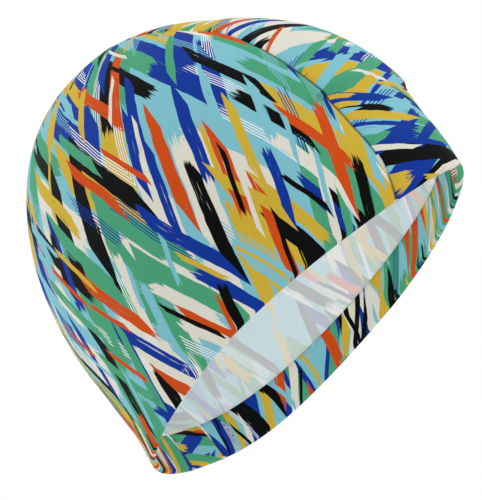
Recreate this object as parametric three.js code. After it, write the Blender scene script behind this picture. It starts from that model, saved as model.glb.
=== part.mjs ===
// A stretch-cloth swim cap in the form that a head gives it: two side panels, a centre panel that narrows from
// the forehead to the nape, and the cloth turned in at the rim as a hem.
// Millimetres, +X to the forehead, +Y to the wearer's left, +Z up, origin inside the crown where the head sits.

import * as THREE from 'three';

// Cloth
const clothThickness = 1.2;
const clearance = 0.3;

// Height of the crown over the middle of the rim, and of the widest level
const crownHeight = 171;
const widestHeight = 53;

// Half-lengths at the widest level and at the rim
const widestFront = 104;
const widestBack = 95;
const widestSide = 83;
const rimFront = 98;
const rimBack = 85.5;
const rimSide = 76.5;

// The crown lies behind the middle, and the dome is a little fuller or flatter than an ellipse as this says
const crownBack = 17;
const domeRoundness = 1.86;

// The rim's oval is drawn to a soft point at the forehead and is blunt at the nape
const rimRoundnessFront = 1.46;
const rimRoundnessBack = 2.7;

// How far the rim rises at the forehead and over the ears
const frontRise = 2;
const sideRise = 3;

// The hem: cloth turned in at the rim, which stands out a little at the forehead and more at the nape, as a power
// of its height
const hemHeight = 19;
const hemOutFront = 1.6;
const hemOutBack = 6;
const hemPower = 1.5;

// The centre panel's half-width at its widest, and its shares along the way from the front rim to the back rim
const centerHalfWidth = 40;
const centerWidths = [
  { way: 0.0, share: 0.77 },
  { way: 0.2, share: 0.94 },
  { way: 0.4, share: 0.56 },
  { way: 0.6, share: 0.4 },
  { way: 0.8, share: 0.34 },
  { way: 1.0, share: 0.32 },
];

// Where on that way the panel passes the widest level, at the forehead and at the nape
const browWay = 0.15;
const napeWay = 0.85;

// Where on that way the mesh of a side panel turns its corners
const cornerWay = 0.3;

// Steps of the meshes
const stepsUp = 5;
const stepsOver = 24;
const stepsAcross = 8;

// Passes that find a place above the widest level, each from the last
const placePasses = 12;

// The levels of the dome run from 0 at the crown through 1 at the widest level to 2 at the rim
const widestLevel = 1;
const rimLevel = 2;

const lerp = THREE.MathUtils.lerp;

function signedPower(value, power) {
  return Math.sign(value) * Math.abs(value) ** power;
}

function levelAtHeight(height) {
  return rimLevel - height / widestHeight;
}

function steps(from, to, count) {
  return Array.from({ length: count + 1 }, (_, i) => lerp(from, to, i / count));
}

// The dome's half-lengths, roundness and hem at a level, on the forehead's side or the nape's
function sectionAt(level, atFront) {
  const below = Math.max(level - widestLevel, 0);
  const widest = atFront ? widestFront : widestBack;
  const rim = atFront ? rimFront : rimBack;
  const rimRoundness = atFront ? rimRoundnessFront : rimRoundnessBack;
  const hemStart = levelAtHeight(hemHeight) - widestLevel;
  const hemShare = Math.max((below - hemStart) / (1 - hemStart), 0);
  const hemOut = atFront ? hemOutFront : hemOutBack;
  return {
    length: lerp(widest, rim, below ** 2) + hemOut * hemShare ** hemPower,
    width: lerp(widestSide, rimSide, below ** 2),
    roundness: lerp(2, rimRoundness, below ** 2),
    below,
  };
}

// A place on the dome is a point of a flat disk: its distance from the middle is the level, and its angle is the
// way that it faces, 0 at the forehead and a quarter turn at the wearer's left
function placeAt(level, angle) {
  return new THREE.Vector2(level * Math.cos(angle), level * Math.sin(angle));
}

function outerPoint(place) {
  const level = place.length();
  const angle = place.angle();
  const section = sectionAt(level, Math.cos(angle) > 0);
  const along = signedPower(Math.cos(angle), 2 / section.roundness);
  const across = signedPower(Math.sin(angle), 2 / section.roundness);
  const quarter = Math.min(level, widestLevel) * Math.PI / 2;
  const reach = Math.sin(quarter) ** (2 / domeRoundness);
  const rise = Math.max(Math.cos(quarter), 0) ** (2 / domeRoundness);
  const rimHeight = frontRise * along + sideRise * across ** 2;
  return new THREE.Vector3(
    section.length * reach * along - crownBack * (1 - reach),
    section.width * reach * across,
    lerp(widestHeight, rimHeight, section.below) + (crownHeight - widestHeight) * rise,
  );
}

// A point in the cloth at a depth under the outer face
function clothPoint(place, depth) {
  const step = 0.002;
  const sideways = new THREE.Vector2(step, 0);
  const upward = new THREE.Vector2(0, step);
  const alongX = outerPoint(place.clone().add(sideways)).sub(outerPoint(place.clone().sub(sideways)));
  const alongY = outerPoint(place.clone().add(upward)).sub(outerPoint(place.clone().sub(upward)));
  const outward = alongX.cross(alongY).normalize();
  return outerPoint(place).addScaledVector(outward, -depth);
}

const widthCurve = new THREE.SplineCurve(centerWidths.map((row) => new THREE.Vector2(row.way, row.share)));

function halfWidthAt(way) {
  return centerHalfWidth * widthCurve.getPoint(way).y;
}

// The place at a level below the widest one that lies a distance to the wearer's left of the middle plane
function placeBelow(level, distance, atFront) {
  const section = sectionAt(level, atFront);
  const sine = signedPower(distance / section.width, section.roundness / 2);
  const angle = Math.asin(sine);
  return placeAt(level, atFront ? angle : Math.PI - angle);
}

// The place above the widest level with a given distance forward and to the left
function placeAbove(forward, distance) {
  let reach = 0.5;
  let along = 0;
  for (let pass = 0; pass < placePasses; pass += 1) {
    const fromCrown = forward + crownBack * (1 - reach);
    along = fromCrown / (fromCrown > 0 ? widestFront : widestBack);
    reach = Math.min(Math.hypot(along, distance / widestSide), 1);
  }
  const level = Math.asin(reach ** (domeRoundness / 2)) * 2 / Math.PI;
  return placeAt(level, Math.atan2(distance / widestSide, along));
}

// The place a share of the way from the front rim over the crown to the back rim, and a distance to the left
function placeOnWay(way, distance) {
  if (way <= browWay) {
    return placeBelow(lerp(rimLevel, widestLevel, way / browWay), distance, true);
  }
  if (way >= napeWay) {
    return placeBelow(lerp(rimLevel, widestLevel, (1 - way) / (1 - napeWay)), distance, false);
  }
  const level = Math.sqrt(1 - (distance / widestSide) ** 2);
  const turn = Math.PI * (way - browWay) / (napeWay - browWay);
  const middle = (widestFront - widestBack) * level / 2;
  const half = (widestFront + widestBack) * level / 2;
  return placeAbove(middle + half * Math.cos(turn), distance);
}

// The way at which the front or the back of the centre panel reaches a level below the widest one
function wayAtLevel(level, atFront) {
  const up = (rimLevel - level) / (rimLevel - widestLevel);
  return atFront ? browWay * up : lerp(1, napeWay, up);
}

// One closed body from a list of rows of places: the cloth between its outer face and its inner face
function clothBody(rows) {
  const outer = rows.map((row) => row.map((place) => clothPoint(place, 0)));
  const inner = rows.map((row) => row.map((place) => clothPoint(place, clothThickness)));
  const triangles = [];
  const addQuad = (a, b, c, d) => triangles.push(a, b, c, a, c, d);
  const last = rows.length - 1;
  const end = rows[0].length - 1;
  for (let i = 0; i < last; i += 1) {
    for (let j = 0; j < end; j += 1) {
      addQuad(outer[i][j], outer[i + 1][j], outer[i + 1][j + 1], outer[i][j + 1]);
      addQuad(inner[i][j], inner[i][j + 1], inner[i + 1][j + 1], inner[i + 1][j]);
    }
    addQuad(outer[i][0], inner[i][0], inner[i + 1][0], outer[i + 1][0]);
    addQuad(outer[i][end], outer[i + 1][end], inner[i + 1][end], inner[i][end]);
  }
  for (let j = 0; j < end; j += 1) {
    addQuad(outer[0][j], outer[0][j + 1], inner[0][j + 1], inner[0][j]);
    addQuad(outer[last][j], inner[last][j], inner[last][j + 1], outer[last][j + 1]);
  }
  return outwardGeometry(triangles);
}

// A geometry whose faces point out, whichever way round its triangles were listed
function outwardGeometry(corners) {
  let volume = 0;
  for (let i = 0; i < corners.length; i += 3) {
    volume += corners[i].dot(corners[i + 1].clone().cross(corners[i + 2]));
  }
  const ordered = volume > 0 ? corners : corners.slice().reverse();
  const geometry = new THREE.BufferGeometry().setFromPoints(ordered);
  geometry.computeVertexNormals();
  return geometry;
}

// The section of the hem, as depths under the outer face and heights over the rim: the fold under the panel's
// edge, rounded outside, and the facing that goes up inside
function hemSection() {
  const facingOuter = clothThickness + clearance;
  const facingInner = facingOuter + clothThickness;
  const round = clothThickness / 2;
  const cut = round * (1 - Math.SQRT1_2);
  return [
    { depth: 0, height: clothThickness },
    { depth: 0, height: round },
    { depth: cut, height: cut },
    { depth: round, height: 0 },
    { depth: facingInner - round, height: 0 },
    { depth: facingInner - cut, height: cut },
    { depth: facingInner, height: round },
    { depth: facingInner, height: hemHeight / 2 },
    { depth: facingInner, height: hemHeight },
    { depth: facingOuter, height: hemHeight },
    { depth: facingOuter, height: hemHeight / 2 },
    { depth: facingOuter, height: clothThickness },
  ];
}

// One closed body: the hem's section carried along a stretch of the rim by a function of share and level
function hemBody(placeOnStretch, count) {
  const section = hemSection();
  const rings = steps(0, 1, count).map((share) => section.map(
    (point) => clothPoint(placeOnStretch(share, levelAtHeight(point.height)), point.depth),
  ));
  const flat = section.map((point) => new THREE.Vector2(point.depth, point.height));
  const caps = THREE.ShapeUtils.triangulateShape(flat, []);
  const turned = THREE.ShapeUtils.isClockWise(flat);
  const triangles = [];
  for (let i = 0; i < count; i += 1) {
    for (let j = 0; j < section.length; j += 1) {
      const next = (j + 1) % section.length;
      const [a, b, c, d] = [rings[i][j], rings[i + 1][j], rings[i + 1][next], rings[i][next]];
      triangles.push(a, d, b, b, d, c);
    }
  }
  for (const [a, b, c] of caps) {
    const [first, second] = turned ? [b, c] : [c, b];
    triangles.push(rings[0][a], rings[0][first], rings[0][second]);
    triangles.push(rings[count][a], rings[count][second], rings[count][first]);
  }
  return outwardGeometry(triangles);
}

// The rows of a panel below the widest level, as levels: its edge over the fold, the hem's middle and top, and up
const levelsBelow = [clothThickness + clearance, hemHeight / 2, hemHeight, (hemHeight + widestHeight) / 2]
  .map(levelAtHeight);

function centerPanel() {
  const ways = [
    ...levelsBelow.map((level) => wayAtLevel(level, true)),
    ...steps(browWay, cornerWay, stepsUp),
    ...steps(cornerWay, 1 - cornerWay, stepsOver).slice(1),
    ...steps(1 - cornerWay, napeWay, stepsUp).slice(1),
    ...levelsBelow.map((level) => wayAtLevel(level, false)).reverse(),
  ];
  return clothBody(ways.map((way) => {
    const half = halfWidthAt(way) - clearance / 2;
    return steps(-half, half, stepsAcross).map((distance) => placeOnWay(way, distance));
  }));
}

// The edge of a side panel along the centre panel, side 1 at the wearer's left and -1 at the right
function seamPlace(way, side) {
  return placeOnWay(way, side * (halfWidthAt(way) + clearance / 2));
}

// A side panel's stretch of a level at or below the widest one, from its front seam to its back seam
function sideStretch(side) {
  return (share, level) => {
    const turn = side > 0 ? 0 : 2 * Math.PI;
    const start = seamPlace(wayAtLevel(level, true), side).angle() - turn;
    const end = seamPlace(wayAtLevel(level, false), side).angle() - turn;
    return placeAt(level, lerp(start, end, share));
  };
}

// Above the widest level a side panel spans four edges: that level, two stretches of the seam, and the seam between
function placeOverSide(side, along, up) {
  const bottom = (share) => sideStretch(side)(share, widestLevel);
  const top = (share) => seamPlace(lerp(cornerWay, 1 - cornerWay, share), side);
  const front = (share) => seamPlace(lerp(browWay, cornerWay, share), side);
  const back = (share) => seamPlace(lerp(napeWay, 1 - cornerWay, share), side);
  const place = bottom(along).multiplyScalar(1 - up);
  place.addScaledVector(top(along), up);
  place.addScaledVector(front(up), 1 - along);
  place.addScaledVector(back(up), along);
  place.addScaledVector(front(0), -(1 - along) * (1 - up));
  place.addScaledVector(back(0), -along * (1 - up));
  place.addScaledVector(front(1), -(1 - along) * up);
  return place.addScaledVector(back(1), -along * up);
}

function sidePanel(side) {
  return clothBody(steps(0, 1, stepsOver).map((along) => [
    ...levelsBelow.map((level) => sideStretch(side)(along, level)),
    ...steps(0, 1, stepsUp).map((up) => placeOverSide(side, along, up)),
  ]));
}

// The stretch of the rim under the centre panel, at the forehead or the nape
function centerStretch(atFront) {
  return (share, level) => {
    const half = halfWidthAt(wayAtLevel(level, atFront)) - clearance / 2;
    return placeBelow(level, lerp(-half, half, share), atFront);
  };
}

const printedCloth = new THREE.MeshStandardMaterial({ color: 0x5f9db0, roughness: 0.75, metalness: 0 });
const centerCloth = new THREE.MeshStandardMaterial({ color: 0x7fb6c0, roughness: 0.75, metalness: 0 });
const hemCloth = new THREE.MeshStandardMaterial({ color: 0xc98a4a, roughness: 0.75, metalness: 0 });

const pieces = [
  { name: 'side_panel_right', geometry: sidePanel(-1), material: printedCloth },
  { name: 'side_panel_left', geometry: sidePanel(1), material: printedCloth },
  { name: 'center_panel', geometry: centerPanel(), material: centerCloth },
  { name: 'hem_right', geometry: hemBody(sideStretch(-1), stepsOver), material: hemCloth },
  { name: 'hem_left', geometry: hemBody(sideStretch(1), stepsOver), material: hemCloth },
  { name: 'hem_front', geometry: hemBody(centerStretch(true), stepsAcross), material: hemCloth },
  { name: 'hem_back', geometry: hemBody(centerStretch(false), stepsAcross), material: hemCloth },
];

const cap = new THREE.Group();
cap.position.set(crownBack, 0, clothThickness - crownHeight);
for (const piece of pieces) {
  const mesh = new THREE.Mesh(piece.geometry, piece.material);
  mesh.name = piece.name;
  cap.add(mesh);
}

export default cap;
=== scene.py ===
# A stretch-cloth swim cap, printed all over and held up as a head holds it.
# Metres, +X to the forehead, +Y to the wearer's left, +Z up, origin inside the crown.
import math

import bmesh
import bpy
from mathutils import Matrix, Vector, noise


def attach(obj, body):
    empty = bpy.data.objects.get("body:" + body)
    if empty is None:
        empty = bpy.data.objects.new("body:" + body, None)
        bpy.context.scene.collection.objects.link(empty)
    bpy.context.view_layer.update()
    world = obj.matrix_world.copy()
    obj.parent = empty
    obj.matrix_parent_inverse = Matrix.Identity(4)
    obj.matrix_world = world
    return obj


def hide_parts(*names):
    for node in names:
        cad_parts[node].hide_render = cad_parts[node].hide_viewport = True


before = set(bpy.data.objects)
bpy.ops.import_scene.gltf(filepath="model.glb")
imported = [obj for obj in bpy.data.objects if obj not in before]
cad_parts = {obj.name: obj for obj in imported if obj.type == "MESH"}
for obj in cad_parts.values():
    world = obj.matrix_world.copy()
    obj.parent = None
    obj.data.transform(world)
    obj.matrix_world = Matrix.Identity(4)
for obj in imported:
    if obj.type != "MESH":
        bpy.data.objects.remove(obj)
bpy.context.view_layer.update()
print("frame loaded")

mm = 0.001

# The cap's form in millimetres, as the solids have it
capForm = {
    "clothThickness": 1.2,
    "crownHeight": 171,
    "widestHeight": 53,
    "widestFront": 104,
    "widestBack": 95,
    "widestSide": 83,
    "rimFront": 98,
    "rimBack": 85.5,
    "rimSide": 76.5,
    "crownBack": 17,
    "domeRoundness": 1.86,
    "rimRoundnessFront": 1.46,
    "rimRoundnessBack": 2.7,
    "frontRise": 2,
    "sideRise": 3,
    "hemHeight": 19,
    "hemOutFront": 1.6,
    "hemOutBack": 6,
    "hemPower": 1.5,
    "centerHalfWidth": 40,
    "centerShares": (0.77, 0.94, 0.56, 0.4, 0.34, 0.32),
    "browWay": 0.15,
    "napeWay": 0.85,
    "cornerWay": 0.3,
    "placePasses": 12,
}


def lerp(a, b, share):
    return a + (b - a) * share


def signedPower(value, power):
    return math.copysign(abs(value) ** power, value)


def levelAtHeight(height):
    return 2 - height / capForm["widestHeight"]


# Length, width and roundness of the cap's outline at a level, and how far below the widest it is
def sectionAt(level, atFront):
    form = capForm
    below = max(level - 1, 0)
    widest = form["widestFront"] if atFront else form["widestBack"]
    rim = form["rimFront"] if atFront else form["rimBack"]
    rimRoundness = form["rimRoundnessFront"] if atFront else form["rimRoundnessBack"]
    hemStart = levelAtHeight(form["hemHeight"]) - 1
    hemShare = max((below - hemStart) / (1 - hemStart), 0)
    hemOut = form["hemOutFront"] if atFront else form["hemOutBack"]
    length = lerp(widest, rim, below**2) + hemOut * hemShare ** form["hemPower"]
    return length, lerp(form["widestSide"], form["rimSide"], below**2), lerp(2, rimRoundness, below**2), below


# A place is a point of a flat disk. Its distance from the middle is the level: 0 at the crown, 1 where the cap
# is widest and 2 at the rim. Its angle is the way that it faces, 0 at the forehead
def placeAt(level, angle):
    return Vector((level * math.cos(angle), level * math.sin(angle)))


def outerPoint(place):
    form = capForm
    level = place.length
    angle = math.atan2(place.y, place.x)
    length, width, roundness, below = sectionAt(level, place.x > 0)
    along = signedPower(math.cos(angle), 2 / roundness)
    across = signedPower(math.sin(angle), 2 / roundness)
    quarter = min(level, 1) * math.pi / 2
    reach = math.sin(quarter) ** (2 / form["domeRoundness"])
    rise = max(math.cos(quarter), 0) ** (2 / form["domeRoundness"])
    rimHeight = form["frontRise"] * along + form["sideRise"] * across**2
    return Vector((
        length * reach * along + form["crownBack"] * reach,
        width * reach * across,
        lerp(form["widestHeight"], rimHeight, below) + (form["crownHeight"] - form["widestHeight"]) * rise
        + form["clothThickness"] - form["crownHeight"],
    ))


# The way out of the cap's surface, from two short steps along it
def outwardAt(place):
    step = 0.002
    alongX = outerPoint(place + Vector((step, 0))) - outerPoint(place - Vector((step, 0)))
    alongY = outerPoint(place + Vector((0, step))) - outerPoint(place - Vector((0, step)))
    return alongX.cross(alongY).normalized()


# Half the centre panel's width, on a smooth curve through its shares. The way along it goes from 0 at the brow's
# rim to 1 at the nape's
def halfWidthAt(way):
    shares = capForm["centerShares"]
    last = len(shares) - 1
    at = way * last
    i = min(int(at), last - 1)
    w = at - i
    a, b, c, d = (shares[min(max(k, 0), last)] for k in (i - 1, i, i + 1, i + 2))
    v0, v1 = (c - a) / 2, (d - b) / 2
    share = (2 * b - 2 * c + v0 + v1) * w**3 + (-3 * b + 3 * c - 2 * v0 - v1) * w**2 + v0 * w + b
    return capForm["centerHalfWidth"] * share


def placeBelow(level, distance, atFront):
    length, width, roundness, below = sectionAt(level, atFront)
    angle = math.asin(signedPower(distance / width, roundness / 2))
    return placeAt(level, angle if atFront else math.pi - angle)


def placeAbove(forward, distance):
    form = capForm
    reach, along = 0.5, 0
    for _ in range(form["placePasses"]):
        fromCrown = forward + form["crownBack"] * (1 - reach)
        along = fromCrown / (form["widestFront"] if fromCrown > 0 else form["widestBack"])
        reach = min(math.hypot(along, distance / form["widestSide"]), 1)
    level = math.asin(reach ** (form["domeRoundness"] / 2)) * 2 / math.pi
    return placeAt(level, math.atan2(distance / form["widestSide"], along))


def placeOnWay(way, distance):
    form = capForm
    brow, nape = form["browWay"], form["napeWay"]
    if way <= brow:
        return placeBelow(2 - way / brow, distance, True)
    if way >= nape:
        return placeBelow(2 - (1 - way) / (1 - nape), distance, False)
    level = math.sqrt(1 - (distance / form["widestSide"]) ** 2)
    turn = math.pi * (way - brow) / (nape - brow)
    middle = (form["widestFront"] - form["widestBack"]) * level / 2
    half = (form["widestFront"] + form["widestBack"]) * level / 2
    return placeAbove(middle + half * math.cos(turn), distance)


def wayAtLevel(level, atFront):
    up = 2 - level
    return capForm["browWay"] * up if atFront else lerp(1, capForm["napeWay"], up)


# The sewn cloth: how it is folded at the rim, pressed in at its seams and how unevenly it lies
clothMake = {
    "thickness": 0.9,
    "foldDepth": 2.6,
    "facingDepth": 1.9,
    "seamGap": 0.05,
    "creaseDepth": 0.7,
    "creaseWidth": 1.4,
    "dentDepth": 0.5,
    "dentWidth": 9,
    "dentRise": 30,
    "stripSinks": (
        0, 0.3, 2.3, 1.2, -0.6, -0.6, 0.9, 2.2, 0.4, -1.0, 0.3,
        1.3, 1.6, 0.9, 0.3, 0, 0, 0, 0, 0, 0,
    ),
    "sinkWidth": 24,
    "puckerDepth": 0.22,
    "puckerReach": 9,
    "puckerLength": 9,
    "swayDepth": 0.5,
    "swayLength": 42,
    "swayShift": (7.3, 1.1, 4.2),
    "calmEdge": 0.85,
    "calmWidth": 6,
    "facingRows": 7,
    "foldRows": 8,
    "wallRows": 16,
    "domeRows": 46,
    "domeRowsPower": 1.6,
    "sideColumns": 124,
    "columnEase": 0.85,
    "centerColumns": 26,
    "centerRows": 120,
}


def seamPlace(way, side):
    return placeOnWay(way, side * (halfWidthAt(way) + clothMake["seamGap"] / 2))


def sidePlace(side, along, level):
    turn = 0 if side > 0 else 2 * math.pi
    ends = []
    for atFront in (True, False):
        place = seamPlace(wayAtLevel(level, atFront), side)
        ends.append(math.atan2(place.y, place.x) % (2 * math.pi) - turn)
    return placeAt(level, lerp(ends[0], ends[1], along))


def placeOverSide(side, along, up):
    brow, nape, corner = capForm["browWay"], capForm["napeWay"], capForm["cornerWay"]
    top = seamPlace(lerp(corner, 1 - corner, along), side)
    front = [seamPlace(lerp(brow, corner, share), side) for share in (0, up, 1)]
    back = [seamPlace(lerp(nape, 1 - corner, share), side) for share in (0, up, 1)]
    place = sidePlace(side, along, 1) * (1 - up) + top * up
    place += front[1] * (1 - along) + back[1] * along
    place -= (front[0] * (1 - along) + back[0] * along) * (1 - up)
    return place - (front[2] * (1 - along) + back[2] * along) * up


# The rows from the facing's edge round the fold: heights, depths and lengths of cloth up from the fold's end
def hemRows():
    form, make = capForm, clothMake
    radius = make["foldDepth"] / 2
    rows = []
    for i in range(make["facingRows"]):
        share = i / make["facingRows"]
        height = lerp(form["hemHeight"], radius, share)
        depth = lerp(make["facingDepth"], make["foldDepth"], share)
        rows.append((height, depth, -(height - radius) - radius * math.pi))
    for i in range(make["foldRows"]):
        turn = math.pi * i / make["foldRows"]
        height = radius - radius * math.sin(turn)
        depth = radius + radius * math.cos(turn)
        rows.append((height, depth, -radius * (math.pi - turn)))
    return rows


def wallHeights():
    radius, rows = clothMake["foldDepth"] / 2, clothMake["wallRows"]
    return [lerp(radius, capForm["widestHeight"], i / rows) for i in range(rows)]


# Columns closer together near the seams
def easeEnds(share):
    return share - clothMake["columnEase"] * math.sin(2 * math.pi * share) / (2 * math.pi)


# Where a point of a side lies in the flat print, across and up in millimetres: the wall is unrolled, and the dome
# is laid flat around its middle
def printOnSide(point):
    form = capForm
    radius = (form["widestFront"] + form["widestBack"]) / 2
    forward = (point.x - form["crownBack"]) / radius
    height = point.z + form["crownHeight"] - form["widestHeight"]
    outward = abs(point.y) / form["widestSide"]
    if height <= 0:
        return radius * math.atan2(forward, outward), height
    upward = height / (form["crownHeight"] - form["widestHeight"])
    flat = math.hypot(forward, upward)
    reach = radius * math.atan2(flat, outward) / max(flat, 0.001)
    return reach * forward, reach * upward


# How far along the centre panel a point of the cap lies, from 0 at the brow's rim to 1 at the nape's
def wayOfPoint(point):
    form = capForm
    height = point.z + form["crownHeight"] - form["clothThickness"]
    if height < form["widestHeight"]:
        share = max(height / form["widestHeight"], 0)
        return form["browWay"] * share if point.x > form["crownBack"] else 1 - (1 - form["napeWay"]) * share
    middle = (form["widestFront"] - form["widestBack"]) / 2 + form["crownBack"]
    half = (form["widestFront"] + form["widestBack"]) / 2
    turn = math.acos(min(max((point.x - middle) / half, -1), 1)) / math.pi
    return lerp(form["browWay"], form["napeWay"], turn)


# How deep the strip between the seams lies under the cap's round form there
def sinkAt(way):
    sinks = clothMake["stripSinks"]
    at = min(way, 0.9999) * (len(sinks) - 1)
    return lerp(sinks[int(at)], sinks[int(at) + 1], at - int(at))


# From 1 at a seam to nothing well beyond a width
def fadeOut(distance, width):
    return math.exp(-((distance / width) ** 2))


# A sheet of cloth as a grid whose points go to their places on the cap, with the print on its outside. Only a side
# panel ends in a seam at its top
def sewCloth(name, rows, columns, placeOf, printOf, topSeam):
    make = clothMake
    mesh = bmesh.new()
    printPlace = mesh.verts.layers.float_vector.new("printPlace")
    last = len(rows) - 1
    bmesh.ops.create_grid(mesh, x_segments=columns, y_segments=last, size=1)
    grid = {}
    for vert in mesh.verts:
        column = round((vert.co.x + 1) / 2 * columns)
        row = round((vert.co.y + 1) / 2 * last)
        grid[row, column] = vert
    outward = {}
    for (row, column), vert in grid.items():
        place, depth = placeOf(rows[row], easeEnds(column / columns))
        out = outwardAt(place)
        vert.co = outerPoint(place) - out * depth
        outward[row, column] = out
    shape = {key: vert.co.copy() for key, vert in grid.items()}
    swayShift = Vector(make["swayShift"])
    for (row, column), vert in grid.items():
        here = shape[row, column]
        ends = [shape[row, 0], shape[row, columns]] + ([shape[last, column]] if topSeam else [])
        fromSeam = min((here - end).length for end in ends)
        across, up = printOf(rows[row], here, shape, row, column)
        vert[printPlace] = (across, up, fromSeam)
        # a seam is pressed in on the printed face, and so towards the wall on the turned-in cloth
        turnedIn = make["facingRows"] + make["foldRows"] / 2
        inwards = 1 if row >= turnedIn else -1
        if not topSeam and row > last - turnedIn:
            inwards = -1
        crease = make["creaseDepth"] * fadeOut(fromSeam, make["creaseWidth"])
        overHead = min(max((here.z + capForm["crownHeight"] - capForm["hemHeight"]) / make["dentRise"], 0), 1)
        dent = make["dentDepth"] * overHead * fadeOut(fromSeam, make["dentWidth"])
        onStrip = fadeOut(fromSeam, make["sinkWidth"]) if topSeam else 1
        dent += sinkAt(wayOfPoint(here)) * onStrip
        near = fadeOut(fromSeam, make["puckerReach"]) * min(fromSeam / make["creaseWidth"], 1)
        pucker = make["puckerDepth"] * near * noise.noise(here / make["puckerLength"])
        calm = 1 - make["calmEdge"] * fadeOut(fromSeam, make["calmWidth"])
        sway = make["swayDepth"] * calm * noise.noise(here / make["swayLength"] + swayShift)
        vert.co = here - outward[row, column] * (inwards * crease + dent + pucker + sway)
    for vert in mesh.verts:
        vert.co *= mm
    mesh.normal_update()
    middle = grid[last // 2, columns // 2]
    if middle.normal.dot(outward[last // 2, columns // 2]) < 0:
        bmesh.ops.reverse_faces(mesh, faces=mesh.faces)
    for face in mesh.faces:
        face.smooth = True
    data = bpy.data.meshes.new(name)
    mesh.to_mesh(data)
    mesh.free()
    cloth = bpy.data.objects.new(name, data)
    bpy.context.scene.collection.objects.link(cloth)
    wall = cloth.modifiers.new("thickness", "SOLIDIFY")
    wall.thickness = make["thickness"] * mm
    wall.offset = -1
    wall.material_offset = 1
    wall.material_offset_rim = 1
    return cloth


def sideCloth(name, side):
    rows = [("hem", *row) for row in hemRows()]
    rows += [("wall", height) for height in wallHeights()]
    domeRows = clothMake["domeRows"]
    power = clothMake["domeRowsPower"]
    rows += [("dome", 1 - (1 - i / domeRows) ** power) for i in range(domeRows + 1)]

    def placeOf(row, along):
        if row[0] == "dome":
            return placeOverSide(side, along, row[1]), 0
        depth = row[2] if row[0] == "hem" else 0
        return sidePlace(side, along, levelAtHeight(row[1])), depth

    def printOf(row, here, shape, rowNumber, column):
        if row[0] != "hem":
            return printOnSide(here)
        foldEnd = clothMake["facingRows"] + clothMake["foldRows"]
        across, up = printOnSide(shape[foldEnd, column])
        return across, up + row[3]

    return sewCloth(name, rows, clothMake["sideColumns"], placeOf, printOf, True)


def centerCloth():
    rows = [("hem", True, *row) for row in hemRows()]
    rows += [("wall", True, height) for height in wallHeights()]
    count = clothMake["centerRows"]
    brow, nape = capForm["browWay"], capForm["napeWay"]
    rows += [("dome", lerp(brow, nape, i / count)) for i in range(count + 1)]
    rows += [("wall", False, height) for height in reversed(wallHeights())]
    rows += [("hem", False, *row) for row in reversed(hemRows())]
    lengths = [0]

    def placeOf(row, share):
        if row[0] == "dome":
            way, depth = row[1], 0
        else:
            way = wayAtLevel(levelAtHeight(row[2]), row[1])
            depth = row[3] if row[0] == "hem" else 0
        half = halfWidthAt(way) - clothMake["seamGap"] / 2
        return placeOnWay(way, lerp(-half, half, share)), depth

    def printOf(row, here, shape, rowNumber, column):
        while len(lengths) <= rowNumber:
            middle = clothMake["centerColumns"] // 2
            step = shape[len(lengths), middle] - shape[len(lengths) - 1, middle]
            lengths.append(lengths[-1] + step.length)
        return lengths[rowNumber], here.y

    return sewCloth("centerCloth", rows, clothMake["centerColumns"], placeOf, printOf, False)


rightCloth = sideCloth("sideClothRight", -1)
leftCloth = sideCloth("sideClothLeft", 1)
stripCloth = centerCloth()
print("cloth sewn")


# Materials. Colours are given as a screen shows them, and made a little deeper for the white light around the cap
def paint(red, green, blue, deeper=0.77):
    channels = [channel / 255 for channel in (red, green, blue)]
    linear = [c / 12.92 if c <= 0.04045 else ((c + 0.055) / 1.055) ** 2.4 for c in channels]
    return (*[c * deeper for c in linear], 1)


inks = {
    "aqua": paint(130, 198, 211),
    "cobalt": paint(12, 55, 156),
    "black": paint(4, 5, 5),
    "orange": paint(213, 79, 20),
    "mustard": paint(212, 180, 58),
    "green": paint(76, 166, 124),
    "cream": paint(230, 227, 214),
    "white": paint(246, 246, 248),
}


def addNode(tree, kind, inputs=None, **settings):
    node = tree.nodes.new(kind)
    for key, value in settings.items():
        setattr(node, key, value)
    for key, value in (inputs or {}).items():
        if isinstance(value, bpy.types.NodeSocket):
            tree.links.new(value, node.inputs[key])
        else:
            node.inputs[key].default_value = value
    return node


def calc(tree, operation, *values, clamp=False):
    inputs = dict(enumerate(values))
    return addNode(tree, "ShaderNodeMath", inputs, operation=operation, use_clamp=clamp).outputs[0]


def vectorOf(tree, x, y, z=0.0):
    return addNode(tree, "ShaderNodeCombineXYZ", {0: x, 1: y, 2: z}).outputs[0]


# Noise from 0 to 1 about 0.5
def blotch(tree, x, y, z=0.0, detail=1.0):
    vector = vectorOf(tree, x, y, z)
    return addNode(tree, "ShaderNodeTexNoise", {"Vector": vector, "Scale": 1.0, "Detail": detail}).outputs[0]


def edgeOf(tree, value, sharpness):
    return calc(tree, "MULTIPLY_ADD", value, sharpness, 0.5, clamp=True)


# How the strokes are painted, in millimetres or as shares of a column's half width
strokeMake = {
    "swaySpan": 26,
    "swayReach": 3,
    "bendAcross": 19,
    "bendUp": 23,
    "bendReach": 5,
    "bendShift": 9,
    "leanOneWay": 0.45,
    "rowsOfShift": 5,
    "armKey": 0.31,
    "bristleAlong": 7,
    "bristleAcross": 2.3,
    "bristleShift": 3.7,
    "bristleReach": 0.34,
    "roughAlong": 1.6,
    "roughAcross": 5,
    "roughReach": 0.06,
    "startSpread": 0.7,
    "firstStart": -0.4,
    "endSpread": -0.6,
    "lastEnd": 1.3,
    "endSharpness": 30,
    "sideSharpness": 2.2,
    "streakLeast": 0.7,
    "streakSharpness": 20,
    "combPitch": 3.2,
    "combHalf": 0.2,
    "combSharpness": 12,
}


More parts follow.
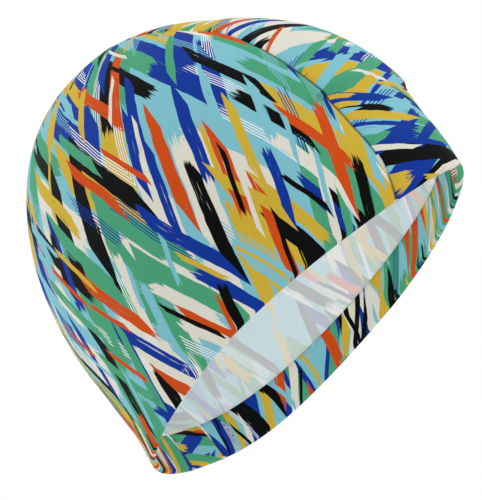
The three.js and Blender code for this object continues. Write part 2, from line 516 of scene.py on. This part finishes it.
# One layer of brush strokes that lean to both sides of upright columns
def makeStrokes():
    make = strokeMake
    tree = bpy.data.node_groups.new("brushStrokes", "ShaderNodeTree")
    for name in ("Across", "Up", "Width", "Pitch", "Slope", "Shift", "Cover", "Apart", "Fill"):
        tree.interface.new_socket(name, in_out="INPUT", socket_type="NodeSocketFloat")
    for name in ("Mask", "Pick", "Streak", "Line"):
        tree.interface.new_socket(name, in_out="OUTPUT", socket_type="NodeSocketFloat")
    given = tree.nodes.new("NodeGroupInput").outputs
    across, up, width, pitch, slope = (given[n] for n in ("Across", "Up", "Width", "Pitch", "Slope"))
    shift, cover, apart, fill = (given[n] for n in ("Shift", "Cover", "Apart", "Fill"))
    # the hand's wobble
    swayX, swayY = (calc(tree, "DIVIDE", way, make["swaySpan"]) for way in (across, up))
    sway = blotch(tree, swayX, swayY, shift, 2.0)
    bendX, bendY = calc(tree, "DIVIDE", across, make["bendAcross"]), calc(tree, "DIVIDE", up, make["bendUp"])
    bend = blotch(tree, bendX, bendY, calc(tree, "ADD", shift, make["bendShift"]), 2.0)
    u = calc(tree, "MULTIPLY_ADD", calc(tree, "SUBTRACT", sway, 0.5), make["swayReach"], across)
    v = calc(tree, "MULTIPLY_ADD", calc(tree, "SUBTRACT", bend, 0.5), make["bendReach"], up)
    place = calc(tree, "ADD", calc(tree, "DIVIDE", u, width), shift)
    column = calc(tree, "FLOOR", place)
    fromMiddle = calc(tree, "SUBTRACT", calc(tree, "FRACT", place), 0.5)
    along = calc(tree, "MULTIPLY", calc(tree, "ABSOLUTE", fromMiddle), 2)
    arm = calc(tree, "MULTIPLY", calc(tree, "SIGN", fromMiddle), apart)
    chance = addNode(tree, "ShaderNodeTexWhiteNoise", {"Vector": vectorOf(tree, column, shift)},
                     noise_dimensions="3D").outputs
    leans = calc(tree, "GREATER_THAN", chance[0], make["leanOneWay"])
    flip = calc(tree, "SUBTRACT", calc(tree, "MULTIPLY", leans, 2), 1)
    halfWidth = calc(tree, "MULTIPLY", width, 0.5)
    length = calc(tree, "MULTIPLY", along, halfWidth)
    rise = calc(tree, "MULTIPLY", length, slope)
    offset = calc(tree, "MULTIPLY", chance[0], calc(tree, "MULTIPLY", pitch, make["rowsOfShift"]))
    height = calc(tree, "ADD", calc(tree, "MULTIPLY_ADD", rise, flip, v), offset)
    placeUp = calc(tree, "DIVIDE", height, pitch)
    band = calc(tree, "FLOOR", placeUp)
    fromBand = calc(tree, "SUBTRACT", calc(tree, "FRACT", placeUp), 0.5)
    inBand = calc(tree, "ABSOLUTE", fromBand)
    key = vectorOf(tree, calc(tree, "MULTIPLY_ADD", arm, make["armKey"], column), band, shift)
    lot = addNode(tree, "ShaderNodeTexWhiteNoise", {"Vector": key}, noise_dimensions="3D").outputs
    lots = addNode(tree, "ShaderNodeSeparateColor", {"Color": lot[1]}).outputs
    # bristles run along the stroke: fine across it, long along it
    bristleX = calc(tree, "DIVIDE", length, make["bristleAlong"])
    bristleY = calc(tree, "DIVIDE", height, make["bristleAcross"])
    bristles = blotch(tree, bristleX, bristleY, calc(tree, "MULTIPLY", column, make["bristleShift"]), 2.0)
    roughX = calc(tree, "DIVIDE", length, make["roughAlong"])
    roughY = calc(tree, "DIVIDE", height, make["roughAcross"])
    ragged = blotch(tree, roughX, roughY, band, 2.0)
    covered = calc(tree, "LESS_THAN", lot[0], cover)
    # the ends are square to the stroke
    lean = calc(tree, "DIVIDE", slope, calc(tree, "MULTIPLY_ADD", slope, slope, 1.0))
    acrossBand = calc(tree, "MULTIPLY", fromBand, pitch)
    slant = calc(tree, "MULTIPLY", acrossBand, calc(tree, "MULTIPLY", lean, flip))
    square = calc(tree, "SUBTRACT", along, calc(tree, "DIVIDE", slant, halfWidth))
    start = calc(tree, "MULTIPLY_ADD", lots[0], make["startSpread"], make["firstStart"])
    end = calc(tree, "MULTIPLY_ADD", lots[1], make["endSpread"], make["lastEnd"])
    fromEnds = calc(tree, "MINIMUM", calc(tree, "SUBTRACT", square, start), calc(tree, "SUBTRACT", end, square))
    bristled = calc(tree, "MULTIPLY_ADD", calc(tree, "SUBTRACT", bristles, 0.5), make["bristleReach"], fromEnds)
    ends = edgeOf(tree, bristled, make["endSharpness"])
    halfFill = calc(tree, "MULTIPLY", fill, 0.5)
    toSide = calc(tree, "SUBTRACT", halfFill, inBand)
    toSide = calc(tree, "MULTIPLY_ADD", calc(tree, "SUBTRACT", ragged, 0.5), make["roughReach"], toSide)
    sides = edgeOf(tree, calc(tree, "MULTIPLY", toSide, pitch), make["sideSharpness"])
    mask = calc(tree, "MULTIPLY", calc(tree, "MULTIPLY", ends, sides), covered)
    streak = edgeOf(tree, calc(tree, "SUBTRACT", bristles, make["streakLeast"]), make["streakSharpness"])
    inComb = calc(tree, "FRACT", calc(tree, "DIVIDE", height, make["combPitch"]))
    fromLine = calc(tree, "ABSOLUTE", calc(tree, "SUBTRACT", inComb, 0.5))
    comb = edgeOf(tree, calc(tree, "SUBTRACT", make["combHalf"], fromLine), make["combSharpness"])
    result = tree.nodes.new("NodeGroupOutput")
    for name, socket in (("Mask", mask), ("Pick", lots[2]), ("Streak", streak), ("Line", comb)):
        tree.links.new(socket, result.inputs[name])
    return tree


# A colour by lot: each ink as often as its share says
def inkRamp(tree, pick, shares):
    ramp = addNode(tree, "ShaderNodeValToRGB", {0: pick})
    ramp.color_ramp.interpolation = "CONSTANT"
    stops = ramp.color_ramp.elements
    total, at = sum(shares.values()), 0.0
    for i, (ink, share) in enumerate(shares.items()):
        stop = stops[i] if i < 2 else stops.new(at)
        stop.position = at
        stop.color = inks[ink]
        at += share / total
    return ramp.outputs[0]


def mixColor(tree, factor, below, above):
    node = addNode(tree, "ShaderNodeMix", data_type="RGBA")
    for socket, value in zip((node.inputs[0], node.inputs[6], node.inputs[7]), (factor, below, above)):
        if isinstance(value, bpy.types.NodeSocket):
            tree.links.new(value, socket)
        else:
            socket.default_value = value
    return node.outputs[2]


# The print's layers from the lowest up, each a chevron pattern of its own width, pitch and inks. A comb is cut
# into fine lines, and a dry brush leaves streaks bare
printLayers = [
    {"Width": 38, "Pitch": 37, "Slope": 2.6, "Shift": 0.13, "Cover": 0.86, "Apart": 0, "Fill": 0.92,
     "inks": {"cobalt": 2.6, "aqua": 0.8, "green": 3, "mustard": 2.5, "cream": 1.3}},
    {"Width": 34, "Pitch": 30, "Slope": 2.8, "Shift": 2.61, "Cover": 0.52, "Apart": 0, "Fill": 0.72,
     "inks": {"black": 2.2, "cobalt": 2, "mustard": 2.2, "aqua": 1.8, "orange": 1, "green": 1.9,
              "cream": 0.4}},
    {"Width": 31, "Pitch": 36, "Slope": 2.7, "Shift": 5.37, "Cover": 0.34, "Apart": 1, "Fill": 0.4,
     "comb": True, "inks": {"white": 2, "cobalt": 1.6, "aqua": 0.8}},
    {"Width": 30, "Pitch": 27, "Slope": 2.9, "Shift": 8.79, "Cover": 0.42, "Apart": 1, "Fill": 0.62,
     "dry": 0.85, "inks": {"orange": 2, "black": 2.8, "green": 1.7, "cream": 0.7, "cobalt": 2.2,
                           "mustard": 1.6}},
    {"Width": 26, "Pitch": 20, "Slope": 2.6, "Shift": 11.23, "Cover": 0.3, "Apart": 1, "Fill": 0.58,
     "dry": 0.85, "inks": {"aqua": 1.8, "green": 1.9, "mustard": 1.2, "cobalt": 1.9,
                           "orange": 0.9, "black": 1.4, "cream": 0.8}},
    {"Width": 21, "Pitch": 11, "Slope": 2.4, "Shift": 14.71, "Cover": 0.19, "Apart": 1, "Fill": 0.5,
     "dry": 0.85, "inks": {"black": 1.4, "cream": 1.6, "aqua": 1.4, "orange": 1, "mustard": 0.8,
                           "green": 0.8}},
]


# The whole print as a group: how far it is moved goes in, its colour and the distance to the seam come out
def makePrint(strokes):
    tree = bpy.data.node_groups.new("allOverPrint", "ShaderNodeTree")
    for name in ("Moved across", "Moved up"):
        tree.interface.new_socket(name, in_out="INPUT", socket_type="NodeSocketFloat")
    tree.interface.new_socket("Color", in_out="OUTPUT", socket_type="NodeSocketColor")
    for name in ("Across", "Up", "Seam"):
        tree.interface.new_socket(name, in_out="OUTPUT", socket_type="NodeSocketFloat")
    given = tree.nodes.new("NodeGroupInput").outputs
    place = addNode(tree, "ShaderNodeAttribute", attribute_name="printPlace").outputs["Vector"]
    x, y, seam = addNode(tree, "ShaderNodeSeparateXYZ", {0: place}).outputs
    across, up = calc(tree, "ADD", x, given[0]), calc(tree, "ADD", y, given[1])
    color = inks["aqua"]
    for layer in printLayers:
        inputs = {key: value for key, value in layer.items() if key not in ("inks", "comb", "dry")}
        group = addNode(tree, "ShaderNodeGroup", node_tree=strokes)
        for key, value in inputs.items():
            group.inputs[key].default_value = value
        tree.links.new(across, group.inputs["Across"])
        tree.links.new(up, group.inputs["Up"])
        ink = inkRamp(tree, group.outputs["Pick"], layer["inks"])
        mask = group.outputs["Mask"]
        if layer.get("comb"):
            mask = calc(tree, "MULTIPLY", mask, group.outputs["Line"])
        if layer.get("dry"):
            gaps = calc(tree, "MULTIPLY_ADD", group.outputs["Streak"], -layer["dry"], 1.0)
            mask = calc(tree, "MULTIPLY", mask, gaps)
        color = mixColor(tree, mask, color, ink)
    result = tree.nodes.new("NodeGroupOutput")
    for name, socket in (("Color", color), ("Across", across), ("Up", up), ("Seam", seam)):
        tree.links.new(socket, result.inputs[name])
    return tree


clothLook = {
    "roughness": 0.78,
    "sheen": 0.01,
    "sheenRoughness": 0.5,
    "specular": 0.07,
    "ribPitch": 0.62,
    "coursePitch": 0.55,
    "knitHeight": 0.06,
    "knitStrength": 0.5,
    "courseShare": 0.6,
    "mottleLength": 30,
    "mottleDepth": 0.1,
    # width, sharpness and darkness of the painted shade in the seams' grooves
    "seamHalf": 0.45,
    "seamSharpness": 1.6,
    "grooveShadeDark": 0.75,
    "showThrough": 0.4,
    "paintedGlow": 0.1,  # painted glow: the back emits its own colour, standing in for light that comes through the thin cloth from behind
}


# Ribs and courses of a fine knit
def knitBump(tree, across, up):
    look = clothLook
    rib = calc(tree, "SINE", calc(tree, "MULTIPLY", across, 2 * math.pi / look["ribPitch"]))
    course = calc(tree, "SINE", calc(tree, "MULTIPLY", up, 2 * math.pi / look["coursePitch"]))
    knit = calc(tree, "MULTIPLY_ADD", course, look["courseShare"], calc(tree, "ABSOLUTE", rib))
    height = calc(tree, "MULTIPLY", knit, look["knitHeight"])
    inputs = {"Strength": look["knitStrength"], "Distance": mm, "Height": height}
    return addNode(tree, "ShaderNodeBump", inputs).outputs[0]


# The cloth's printed face with painted shade along its seams, or its white back with the print showing through and
# a painted glow
def makeCloth(name, printed, moved, inside):
    look = clothLook
    material = bpy.data.materials.new(name)
    material.use_nodes = True
    tree = material.node_tree
    shader = tree.nodes["Principled BSDF"]
    group = addNode(tree, "ShaderNodeGroup", node_tree=printed)
    group.inputs[0].default_value, group.inputs[1].default_value = moved
    color, across, up, seam = (group.outputs[n] for n in ("Color", "Across", "Up", "Seam"))
    mottleX, mottleY = (calc(tree, "DIVIDE", way, look["mottleLength"]) for way in (across, up))
    mottle = blotch(tree, mottleX, mottleY, 3.0, 3.0)
    if inside:
        color = mixColor(tree, look["showThrough"], inks["white"], color)
        # painted glow: the white back emits a little of its own colour in place of light through the cloth
        tree.links.new(color, shader.inputs["Emission Color"])
        shader.inputs["Emission Strength"].default_value = look["paintedGlow"]
    shade = calc(tree, "MULTIPLY_ADD", calc(tree, "SUBTRACT", mottle, 0.5), look["mottleDepth"], 1.0)
    shades = addNode(tree, "ShaderNodeCombineColor", {0: shade, 1: shade, 2: shade}).outputs[0]
    tint = addNode(tree, "ShaderNodeMix", {0: 1.0}, data_type="RGBA", blend_type="MULTIPLY")
    tree.links.new(color, tint.inputs[6])
    tree.links.new(shades, tint.inputs[7])
    color = tint.outputs[2]
    if not inside:
        # painted shade: black mixed in along each seam stands for the shadow in its pressed-in groove
        grooveShade = edgeOf(tree, calc(tree, "SUBTRACT", look["seamHalf"], seam), look["seamSharpness"])
        color = mixColor(tree, calc(tree, "MULTIPLY", grooveShade, look["grooveShadeDark"]), color, inks["black"])
    tree.links.new(color, shader.inputs["Base Color"])
    tree.links.new(knitBump(tree, across, up), shader.inputs["Normal"])
    shader.inputs["Roughness"].default_value = look["roughness"]
    shader.inputs["Specular IOR Level"].default_value = look["specular"]
    shader.inputs["Sheen Weight"].default_value = look["sheen"]
    shader.inputs["Sheen Roughness"].default_value = look["sheenRoughness"]
    return material


strokes = makeStrokes()
printed = makePrint(strokes)

# Each cloth, its slot, how far the print is moved on it in millimetres, and the solids that it stands for
cloths = [
    (rightCloth, "printed_cloth", (230.0, 1550.0), ("side_panel_right", "hem_right")),
    (leftCloth, "printed_cloth", (870.0, 71.0), ("side_panel_left", "hem_left")),
    (stripCloth, "printed_center", (3133.0, 299.0), ("center_panel", "hem_front", "hem_back")),
]
for cloth, slot, moved, nodes in cloths:
    cloth.data.materials.append(makeCloth(cloth.name + "Print", printed, moved, False))
    cloth.data.materials.append(makeCloth(cloth.name + "Back", printed, moved, True))
    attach(cloth, "root")
    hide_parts(*nodes)
print("cloth printed")


# The stage: a pale floor well below the cap, and white light from all around
stageSet = {
    "floorDrop": 0.62,
    "floorSize": 60,
    "floorColor": (0.92, 0.92, 0.92, 1),
    "floorRoughness": 0.9,
    "skyColor": (1, 1, 1, 1),
    "skyStrength": 1.0,
}
floorMesh = bmesh.new()
bmesh.ops.create_grid(floorMesh, x_segments=1, y_segments=1, size=stageSet["floorSize"] / 2)
bmesh.ops.translate(floorMesh, verts=floorMesh.verts, vec=(0, 0, -stageSet["floorDrop"]))
floorData = bpy.data.meshes.new("paleFloor")
floorMesh.to_mesh(floorData)
floorMesh.free()
floor = bpy.data.objects.new("paleFloor", floorData)
bpy.context.scene.collection.objects.link(floor)
floorLook = bpy.data.materials.new("paleFloor")
floorLook.use_nodes = True
floorShader = floorLook.node_tree.nodes["Principled BSDF"]
floorShader.inputs["Base Color"].default_value = stageSet["floorColor"]
floorShader.inputs["Roughness"].default_value = stageSet["floorRoughness"]
floorData.materials.append(floorLook)

world = bpy.data.worlds.new("whiteRoom")
bpy.context.scene.world = world
world.use_nodes = True
sky = world.node_tree.nodes["Background"]
sky.inputs["Color"].default_value = stageSet["skyColor"]
sky.inputs["Strength"].default_value = stageSet["skyStrength"]

# The camera stands where the photo was taken from: degrees, millimetres and pixels of the photo
camera = {
    "azimuth": 27.69,
    "elevation": -19.47,
    "roll": 41.1,
    "distance": 614.7,
    "focalPixels": 1394.9,
    "pixelsAcross": 482,
    "sensorWidth": 36,
    "target": (22.76, -16.03, -122.88),
}
azimuth, elevation, roll = (math.radians(camera[k]) for k in ("azimuth", "elevation", "roll"))
flatBack = math.cos(elevation)
back = Vector((math.sin(azimuth) * flatBack, -math.cos(azimuth) * flatBack, math.sin(elevation)))
level = Vector((math.cos(azimuth), math.sin(azimuth), 0))
upright = back.cross(level)
right = level * math.cos(roll) - upright * math.sin(roll)
upward = level * math.sin(roll) + upright * math.cos(roll)
eyeData = bpy.data.cameras.new("photoView")
eyeData.sensor_fit = "HORIZONTAL"
eyeData.sensor_width = camera["sensorWidth"]
eyeData.lens = camera["sensorWidth"] * camera["focalPixels"] / camera["pixelsAcross"]
eye = bpy.data.objects.new("photoView", eyeData)
bpy.context.scene.collection.objects.link(eye)
turned = Matrix((right, upward, back)).transposed().to_4x4()
eye.matrix_world = Matrix.Translation((Vector(camera["target"]) + back * camera["distance"]) * mm) @ turned
bpy.context.scene.camera = eye


# A place so far to the right, up and back in the photo's view
def inView(rightward, upwards, backward, distance):
    direction = (right * rightward + upward * upwards + back * backward).normalized()
    return Vector(camera["target"]) * mm + direction * distance


# A square soft light, in metres and watts
def softLight(name, place, aim, size, power):
    data = bpy.data.lights.new(name, "AREA")
    data.size = size
    data.energy = power
    light = bpy.data.objects.new(name, data)
    bpy.context.scene.collection.objects.link(light)
    light.location = place
    light.rotation_euler = (place - aim).to_track_quat("Z", "Y").to_euler()
    return light


# Three lights around the view, each with its direction and distance, and a small one in the hollow
viewLights = {
    "topLight": {"toward": (0.3, 1.0, 0.1), "distance": 1.4, "size": 1.0, "power": 6.5},
    "frontLight": {"toward": (0.15, -0.3, 1.0), "distance": 1.3, "size": 0.7, "power": 2.5},
    "edgeLight": {"toward": (-1.0, 0.1, -0.4), "distance": 1.4, "size": 1.2, "power": 8},
}
hollowLight = {"place": (0.015, -0.035, -0.095), "aim": (0.02, 0.07, -0.15), "size": 0.08, "power": 0.08}
for name, light in viewLights.items():
    place = inView(*light["toward"], light["distance"])
    softLight(name, place, Vector(camera["target"]) * mm, light["size"], light["power"])
hollowPlace, hollowAim = Vector(hollowLight["place"]), Vector(hollowLight["aim"])
softLight("hollowLight", hollowPlace, hollowAim, hollowLight["size"], hollowLight["power"])

bpy.context.scene.view_settings.view_transform = "Standard"
bpy.context.scene.view_settings.look = "None"
print("stage set")
